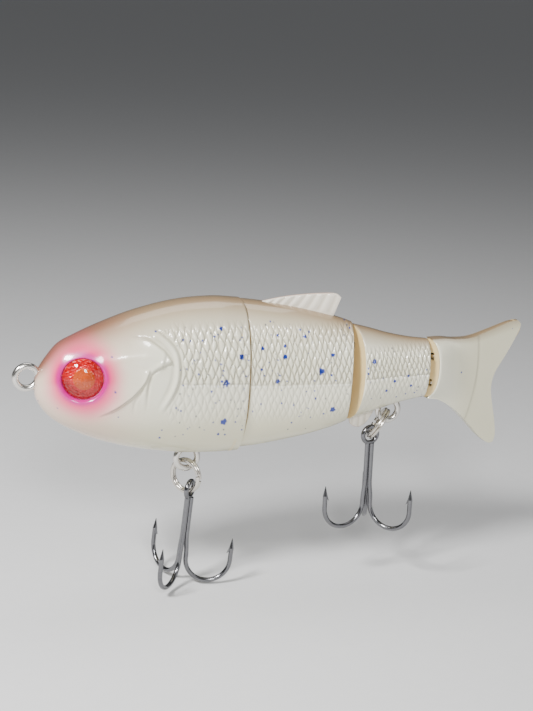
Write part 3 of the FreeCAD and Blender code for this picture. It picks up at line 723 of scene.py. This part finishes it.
def tail_patch(section, u, v):
    """(x, z) of the tail, with u from its root to its trailing edge and v from top to bottom."""
    scale = (TAIL_LENGTH, TAIL_HEIGHT)
    top = along_curve(np.array(TAIL_TOP) * scale + (0, TAIL_MARGIN), u)
    bottom = along_curve(np.array(TAIL_BOTTOM) * scale - (0, TAIL_MARGIN), u)
    back = along_curve(np.array(TAIL_BACK) * scale + (TAIL_MARGIN, 0), v)
    front_x = section.front(np.arccos(np.clip(1 - 2 * v, -1, 1)))
    front = np.stack([front_x, top[0, 1] + (bottom[0, 1] - top[0, 1]) * v], axis=-1)
    back = back + (top[-1] - back[0]) * (1 - v)[:, None] + (bottom[-1] - back[-1]) * v[:, None]
    front = front + (top[0] - front[0]) * (1 - v)[:, None] + (bottom[0] - front[-1]) * v[:, None]
    u, v = u[:, None, None], v[None, :, None]
    patch = (1 - v) * top[:, None] + v * bottom[:, None] + (1 - u) * front[None] + u * back[None]
    corners = (1 - u) * (1 - v) * top[0] + u * (1 - v) * top[-1]
    corners = corners + (1 - u) * v * bottom[0] + u * v * bottom[-1]
    return patch - corners


def tail_half_thickness(section, x, z):
    """Half the tail's thickness: its rounded root running out into the thin fin."""
    top, bottom, half = section.offsets(x)
    rise = np.clip(np.abs(2 * z - top - bottom) / (top - bottom), 0, 1)
    root = half * (1 - rise ** SECTION_POWER) ** (1 / SECTION_POWER)
    root = np.where(x > section.start + section.length, 0, root)
    share = np.clip(x / TAIL_LENGTH, 0, 1)
    plate = (TAIL_ROOT_THICKNESS + (TAIL_EDGE_THICKNESS - TAIL_ROOT_THICKNESS) * share) / 2
    blend = np.clip(0.5 + 0.5 * (root - plate) / TAIL_BLEND, 0, 1)
    return plate * (1 - blend) + root * blend + TAIL_BLEND * blend * (1 - blend)


def tail_coat(section, side, materials):
    """The painted skin over one side of the tail, wrapped round its flat edges to the middle."""
    rows, columns = TAIL_GRID
    wrap = np.array(TAIL_WRAP)
    u = np.concatenate([np.linspace(0, 1, rows), np.ones(len(wrap))])
    v = np.concatenate([np.zeros(len(wrap)), np.linspace(0, 1, columns), np.ones(len(wrap))])
    wrap_u = np.concatenate([np.ones(rows), wrap[::-1]])[:, None]
    wrap_v = np.concatenate([wrap, np.ones(columns), wrap[::-1]])[None, :]
    flat = tail_patch(section, u, v)
    x, z = flat[..., 0], flat[..., 1]
    past_step = x - TAIL_STEP_X + TAIL_STEP_BOW * z ** 2
    step = TAIL_STEP_HEIGHT * (1 - smooth(-0.35, 0.35, past_step))
    half = tail_half_thickness(section, x, z)
    rim = rounded((x - x[0]) / RIM_WIDTH)
    thick = half + COAT_LEAST + rim * (TAIL_COAT + step)
    outer_x = x + COAT_THIN * (1 - wrap_u)
    outer_z = z + COAT_THIN * (1 - wrap_v) * np.sign(0.5 - v)[None, :]
    outer = np.stack([outer_x, side * thick * wrap_u * wrap_v, outer_z], axis=-1)
    under = tail_patch(section, u * 0.985, 0.5 + (v - 0.5) * 0.97)
    inside = np.maximum(tail_half_thickness(section, under[..., 0], under[..., 1]) - 0.2, 0.1)
    inner = np.stack([under[..., 0], side * inside * wrap_u * wrap_v, under[..., 1]], axis=-1)
    blue, grey = splatters("tail", side, x, z)
    back = smooth(0.012, 0.0, v)[None, :] * (1 - 0.35 * wrap_v) * 1.2
    back = np.maximum(back, 0.55 * smooth(0.10, 0.0, v)[None, :])
    masks = {
        "blue": blue,
        "grey": grey,
        "back": np.broadcast_to(np.clip(back, 0, 1), x.shape),
        "belly": 0.85 * smooth(2.0, 12.0, x),
        # Painted shade in the groove just behind the step from root to fin
        "groove": 0.35 * bell(past_step - 0.3, 0.3),
    }
    made = closed_mesh("tail_coat_" + side_name(side),
                       section.to_frame(outer), section.to_frame(inner), masks)
    made.data.materials.append(materials["paint"])
    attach(made, "tail")


def fin(name, node, section, spec, materials):
    """A ribbed fin in place of a plain CAD plate."""
    s = np.linspace(0.02, 1.0, FIN_GRID[0])[:, None]
    t = np.linspace(0, 1, FIN_GRID[1])[None, :]
    edge = curve(spec["edge"], 10)
    rise = np.interp(s, edge[:, 0], edge[:, 1])
    direction = spec["direction"]
    line = 0 if direction > 0 else 1
    edge_x = spec["start"] + s * spec["length"]
    edge_z = section.offsets(edge_x)[line] + direction * np.maximum(rise, 0.02) * spec["height"]
    base_x = spec["start"] + spec["base"] * s ** spec["lean"] * spec["length"]
    base_z = section.offsets(base_x)[line] - direction * FIN_SUNK
    x = base_x + (edge_x - base_x) * t
    z = base_z + (edge_z - base_z) * t
    reach = np.hypot(edge_x - base_x, edge_z - base_z)
    inset = np.minimum(reach * (1 - t), 3.0 * (1 - s) * spec["length"] / 10 + 0.05)
    rim = rounded(np.maximum(inset / FIN_RIM, 0.02))
    wave = np.cos(2 * math.pi * spec["rays"] * s)
    rays = smooth(0.12, 0.3, t) * smooth(1.0, 0.9, t)
    half = (FIN_THICKNESS / 2 - FIN_TAPER * t) * (0.25 + 0.75 * rim)
    half = half + RAY_HEIGHT * wave * rays * rim
    left = np.stack([x, -half, z], axis=-1)
    right = np.stack([x, half, z], axis=-1)
    masks = {
        # Painted shade in the grooves between the rays
        "groove": rays * rim * smooth(-0.3, -1.0, wave),
        "back": smooth(0.93, 1.0, t) * smooth(1.0, 0.8, s),
    }
    made = closed_mesh(name, section.to_frame(left), section.to_frame(right), masks)
    made.data.materials.append(materials["fin"])
    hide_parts(node)
    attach(made, section.body)


def eye_foil(section, side, materials):
    """A hammered foil disc with a raised pupil, in place of the flat printed one."""
    centre, across, up, out = eye_axes(section, side)
    angles = np.linspace(0, 2 * math.pi, FOIL_GRID[0])
    around, reach = np.meshgrid(angles, np.linspace(0.02, 1, FOIL_GRID[1]), indexing="ij")
    radius = reach * (EYE_RADIUS - FOIL_GAP)
    px, py = radius * np.cos(around), radius * np.sin(around)
    pupil = smooth(PUPIL_RADIUS + 0.12, PUPIL_RADIUS - 0.12, np.hypot(px - PUPIL_SHIFT, py))
    dents = np.abs(wobble(2.6 * px, 2.6 * py, 1.0))
    dents = dents + 0.6 * np.abs(wobble(4.5 * px, 4.1 * py, 5.0))
    floor = EYE_DISC - EYE_RECESS
    lift = floor + FOIL_LIFT + DENT_DEPTH * dents * (1 - pupil) + PUPIL_RISE * pupil
    inside = smooth(1.05, 0.95, reach)
    lift = lift * inside + floor * (1 - inside)

    def points(height):
        """The disc's grid at heights along the eye's own axis."""
        return centre + px[..., None] * across + py[..., None] * up + height[..., None] * out

    under = np.full(px.shape, FOIL_UNDERSIDE - EYE_RECESS)
    masks = {"pupil": pupil}
    made = closed_mesh("eye_foil_" + side_name(side), points(lift), points(under), masks)
    made.data.materials.append(materials["foil"])
    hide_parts("eye_disc_" + side_name(side))
    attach(made, section.body)


# ---------------------------------------------------------------- materials

class Wiring:
    """A new material, with short ways to wire its nodes."""

    def __init__(self, name):
        self.material = bpy.data.materials.new(name)
        self.material.use_nodes = True
        self.nodes = self.material.node_tree.nodes
        self.links = self.material.node_tree.links
        self.shader = self.nodes["Principled BSDF"]

    def texture(self, kind, scale):
        """A texture node in object coordinates; scale is per metre."""
        coords = self.nodes.new("ShaderNodeTexCoord")
        made = self.nodes.new(kind)
        made.inputs["Scale"].default_value = scale
        self.links.new(coords.outputs["Object"], made.inputs["Vector"])
        return made

    def noise(self, scale):
        made = self.texture("ShaderNodeTexNoise", scale)
        made.inputs["Detail"].default_value = 3.0
        return made.outputs["Fac"]

    def mask(self, name):
        """One of the attributes that closed_mesh stores."""
        node = self.nodes.new("ShaderNodeAttribute")
        node.attribute_name = name
        return node.outputs["Fac"]

    def scaled(self, value, factor, add=0.0):
        maths = self.nodes.new("ShaderNodeMath")
        maths.operation = "MULTIPLY_ADD"
        self.links.new(value, maths.inputs[0])
        maths.inputs[1].default_value = factor
        maths.inputs[2].default_value = add
        return maths.outputs[0]

    def product(self, a, b):
        maths = self.nodes.new("ShaderNodeMath")
        maths.operation = "MULTIPLY"
        self.links.new(a, maths.inputs[0])
        self.links.new(b, maths.inputs[1])
        return maths.outputs[0]

    def mixed(self, colour, over, factor):
        """colour with over laid on it by factor; each colour is a socket or a tuple."""
        mix = self.nodes.new("ShaderNodeMix")
        mix.data_type = "RGBA"
        for socket, value in ((mix.inputs[6], colour), (mix.inputs[7], over)):
            if isinstance(value, tuple):
                socket.default_value = (*value, 1.0)
            else:
                self.links.new(value, socket)
        self.links.new(factor, mix.inputs[0])
        return mix.outputs[2]

    def laid(self, colour, over, name, share):
        """colour with a share of over laid on it where the mask of that name is."""
        return self.mixed(colour, over, self.scaled(self.mask(name), share))

    def bump(self, height, strength, distance):
        bump = self.nodes.new("ShaderNodeBump")
        bump.inputs["Strength"].default_value = strength
        bump.inputs["Distance"].default_value = distance
        self.links.new(height, bump.inputs["Height"])
        self.links.new(bump.outputs["Normal"], self.shader.inputs["Normal"])

    def finish(self, colour, **values):
        """Gives the shader its colour and its plain values, and gives the material back."""
        self.links.new(colour, self.shader.inputs["Base Color"])
        for key, value in values.items():
            self.shader.inputs[key.replace("_", " ").title()].default_value = value
        return self.material


def paint_material():
    """Pearl white lacquer: tan back, pink face, magenta round the eyes, blue and grey dots; painted
    shade in the grooves, painted highlights on the dashes.
    """
    wire = Wiring("pearl_paint")
    colour = wire.mixed((0.70, 0.68, 0.52), (0.78, 0.76, 0.62), wire.noise(120.0))
    colour = wire.laid(colour, (0.60, 0.56, 0.35), "belly", 0.6)
    colour = wire.laid(colour, (0.66, 0.40, 0.31), "face", 0.6)
    tan = wire.mixed((0.27, 0.17, 0.08), (0.23, 0.08, 0.045), wire.mask("face"))
    colour = wire.laid(colour, tan, "back", 0.95)
    eye = wire.mask("eye")
    near_eye = wire.product(wire.product(eye, eye), eye)
    colour = wire.laid(colour, (0.85, 0.04, 0.17), "eye", 0.85)
    colour = wire.mixed(colour, (0.75, 0.0, 0.15), near_eye)
    colour = wire.laid(colour, (0.50, 0.0, 0.20), "socket", 1.0)
    # Painted shade in the grooves
    colour = wire.laid(colour, (0.22, 0.18, 0.10), "groove", 0.5)
    # Painted highlights on the raised dashes below the lateral line
    colour = wire.laid(colour, (0.95, 0.94, 0.90), "glint", 0.6)
    colour = wire.laid(colour, (0.06, 0.07, 0.10), "grey", 0.8)
    colour = wire.laid(colour, (0.0, 0.02, 0.24), "blue", 1.0)
    wire.bump(wire.noise(900.0), 0.10, 0.0002)
    return wire.finish(colour, roughness=0.26, coat_weight=1.0, coat_roughness=0.07)


def fin_material():
    """The body's lacquer on the fins, darker along the edge, with painted shade in the grooves
    between the rays.
    """
    wire = Wiring("fin_paint")
    colour = wire.mixed((0.66, 0.60, 0.49), (0.78, 0.73, 0.63), wire.noise(300.0))
    colour = wire.laid(colour, (0.50, 0.33, 0.25), "back", 0.8)
    # Painted shade between the rays
    colour = wire.laid(colour, (0.40, 0.34, 0.24), "groove", 0.4)
    return wire.finish(colour, roughness=0.36, coat_weight=0.5, coat_roughness=0.1)


def plastic_material(name, dark, light, roughness):
    """Bare moulded plastic with a faint cloudiness."""
    wire = Wiring(name)
    wire.bump(wire.noise(2500.0), 0.08, 0.0001)
    return wire.finish(wire.mixed(dark, light, wire.noise(250.0)), roughness=roughness)


def metal_material(name, dark, light, roughness):
    """Plated or plain metal, with a fine fleck in its colour and its gloss."""
    wire = Wiring(name)
    fleck = wire.noise(1800.0)
    wire.links.new(wire.scaled(fleck, 0.12, roughness), wire.shader.inputs["Roughness"])
    wire.bump(fleck, 0.06, 0.00006)
    return wire.finish(wire.mixed(dark, light, fleck), metallic=1.0)


def foil_material():
    """Hammered red foil with a brown-orange pupil, glowing faintly in its own colour as painted
    light.
    """
    wire = Wiring("eye_foil")
    cells = wire.texture("ShaderNodeTexVoronoi", 1500.0).outputs["Distance"]
    tone = wire.mixed((0.62, 0.0, 0.004), (0.34, 0.0, 0.004), cells)
    colour = wire.laid(tone, (0.45, 0.06, 0.0), "pupil", 1.0)
    # The foil glows in its own colour: painted light that brightens the red
    wire.links.new(colour, wire.shader.inputs["Emission Color"])
    wire.bump(cells, 0.6, 0.0003)
    return wire.finish(colour, emission_strength=0.45, metallic=0.1, roughness=0.25)


def lens_material():
    """Clear resin: see-through, with a bright gloss that grows towards its edge."""
    wire = Wiring("eye_lens")
    wire.nodes.remove(wire.shader)
    clear = wire.nodes.new("ShaderNodeBsdfTransparent")
    gloss = wire.nodes.new("ShaderNodeBsdfGlossy")
    fresnel = wire.nodes.new("ShaderNodeFresnel")
    mix = wire.nodes.new("ShaderNodeMixShader")
    tint = wire.mixed((1.0, 0.93, 0.93), (1.0, 0.98, 0.98), wire.noise(200.0))
    gloss.inputs["Roughness"].default_value = 0.03
    fresnel.inputs["IOR"].default_value = 1.5
    wire.links.new(tint, clear.inputs["Color"])
    wire.links.new(fresnel.outputs[0], mix.inputs[0])
    wire.links.new(clear.outputs[0], mix.inputs[1])
    wire.links.new(gloss.outputs[0], mix.inputs[2])
    wire.links.new(mix.outputs[0], wire.nodes["Material Output"].inputs["Surface"])
    return wire.material


def make_materials():
    return {
        "paint": paint_material(),
        "fin": fin_material(),
        "bare": plastic_material("bare_plastic", (0.60, 0.45, 0.21), (0.68, 0.53, 0.27), 0.45),
        "steel": metal_material("bright_steel", (0.66, 0.63, 0.58), (0.80, 0.78, 0.74), 0.16),
        "pin": metal_material("pin_steel", (0.35, 0.34, 0.33), (0.5, 0.49, 0.47), 0.3),
        "ring": metal_material("ring_nickel", (0.58, 0.54, 0.48), (0.74, 0.70, 0.64), 0.18),
        "hook": metal_material("black_nickel", (0.15, 0.15, 0.16), (0.24, 0.24, 0.25), 0.12),
        "lead": metal_material("ballast_lead", (0.16, 0.16, 0.17), (0.24, 0.24, 0.25), 0.5),
        "lens": lens_material(),
        "foil": foil_material(),
    }


CAD_MATERIALS = {
    "line_tie": "steel", "front_hook_hanger": "steel", "rear_hook_hanger": "steel",
    "head_hinge_loops": "steel", "mid_hinge_loops": "steel", "tail_hinge_loops": "steel",
    "head_hinge_pin": "pin", "mid_hinge_pin": "pin", "tail_hinge_pin": "pin",
    "front_split_ring": "ring", "rear_split_ring": "ring",
    "front_treble_hook": "hook", "rear_treble_hook": "hook",
    "head_ballast": "lead", "mid_ballast": "lead",
    "eye_disc_left": "foil", "eye_disc_right": "foil",
    "eye_dome_left": "lens", "eye_dome_right": "lens",
    "dorsal_fin": "fin", "anal_fin": "fin",
}


def finish_cad(nodes, materials):
    """Gives every CAD node its material; shells and the tail are bare plastic under their coats."""
    for name, piece in nodes.items():
        piece.data.materials.clear()
        piece.data.materials.append(materials[CAD_MATERIALS.get(name, "bare")])


# ---------------------------------------------------------------- stage

def make_camera():
    """The camera, at the place and with the axes given at the top."""
    data = bpy.data.cameras.new("camera")
    data.lens = CAMERA_LENS
    data.sensor_width = SENSOR_WIDTH
    data.dof.use_dof = False
    camera = bpy.data.objects.new("camera", data)
    axes = Matrix((CAMERA_RIGHT, CAMERA_UP, CAMERA_BACK)).transposed().to_4x4()
    axes.translation = [v * MM for v in CAMERA_PLACE]
    camera.matrix_world = axes
    bpy.context.scene.collection.objects.link(camera)
    bpy.context.scene.camera = camera


def make_light(name, place, target, size, power):
    """A soft rectangular light at a place, facing the target."""
    data = bpy.data.lights.new(name, "AREA")
    data.shape = "RECTANGLE"
    data.size, data.size_y = size
    data.energy = power
    light = bpy.data.objects.new(name, data)
    light.location = place
    light.rotation_mode = "QUATERNION"
    light.rotation_quaternion = (Vector(target) - Vector(place)).to_track_quat("-Z", "Y")
    bpy.context.scene.collection.objects.link(light)


def make_stage(low, high):
    """The floor just under the lowest hook, four lights and a dim grey-blue world."""
    mesh = bpy.data.meshes.new("floor")
    reach, z = FLOOR_REACH, low[2] - FLOOR_GAP
    corners = [(-reach, -reach, z), (reach, -reach, z), (reach, reach, z), (-reach, reach, z)]
    mesh.from_pydata(corners, [], [(0, 1, 2, 3)])
    mesh.materials.append(plastic_material("floor", (0.70, 0.70, 0.70), (0.73, 0.73, 0.73), 0.8))
    floor = bpy.data.objects.new("floor", mesh)
    bpy.context.scene.collection.objects.link(floor)
    middle = [(a + b) / 2 for a, b in zip(low, high)]
    for name, place, size, power in LIGHTS:
        make_light(name, place, middle, size, power)
    world = bpy.data.worlds.new("world")
    bpy.context.scene.world = world
    world.use_nodes = True
    background = world.node_tree.nodes["Background"]
    background.inputs["Color"].default_value = (0.9, 0.92, 0.95, 1.0)
    background.inputs["Strength"].default_value = WORLD_STRENGTH


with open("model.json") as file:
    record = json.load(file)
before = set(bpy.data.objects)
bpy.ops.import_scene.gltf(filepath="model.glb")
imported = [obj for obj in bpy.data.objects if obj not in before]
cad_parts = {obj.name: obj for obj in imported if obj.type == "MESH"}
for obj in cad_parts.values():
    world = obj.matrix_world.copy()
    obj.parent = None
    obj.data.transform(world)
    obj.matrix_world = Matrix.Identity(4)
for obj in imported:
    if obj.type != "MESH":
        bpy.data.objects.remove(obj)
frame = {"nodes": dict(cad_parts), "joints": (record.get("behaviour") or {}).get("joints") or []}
cad_box = [list(corner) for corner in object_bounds()]
make_camera()
sections = make_sections(frame["joints"])
materials = make_materials()
finish_cad(frame["nodes"], materials)
for name in ("head", "mid", "rear"):
    for side in (-1, 1):
        coat(sections[name], side, materials)
for side in (-1, 1):
    tail_coat(sections["tail"], side, materials)
    eye_foil(sections["head"], side, materials)
fin("dorsal_fin_ribbed", "dorsal_fin", sections["mid"], DORSAL, materials)
fin("anal_fin_ribbed", "anal_fin", sections["rear"], ANAL, materials)
make_stage(*cad_box)
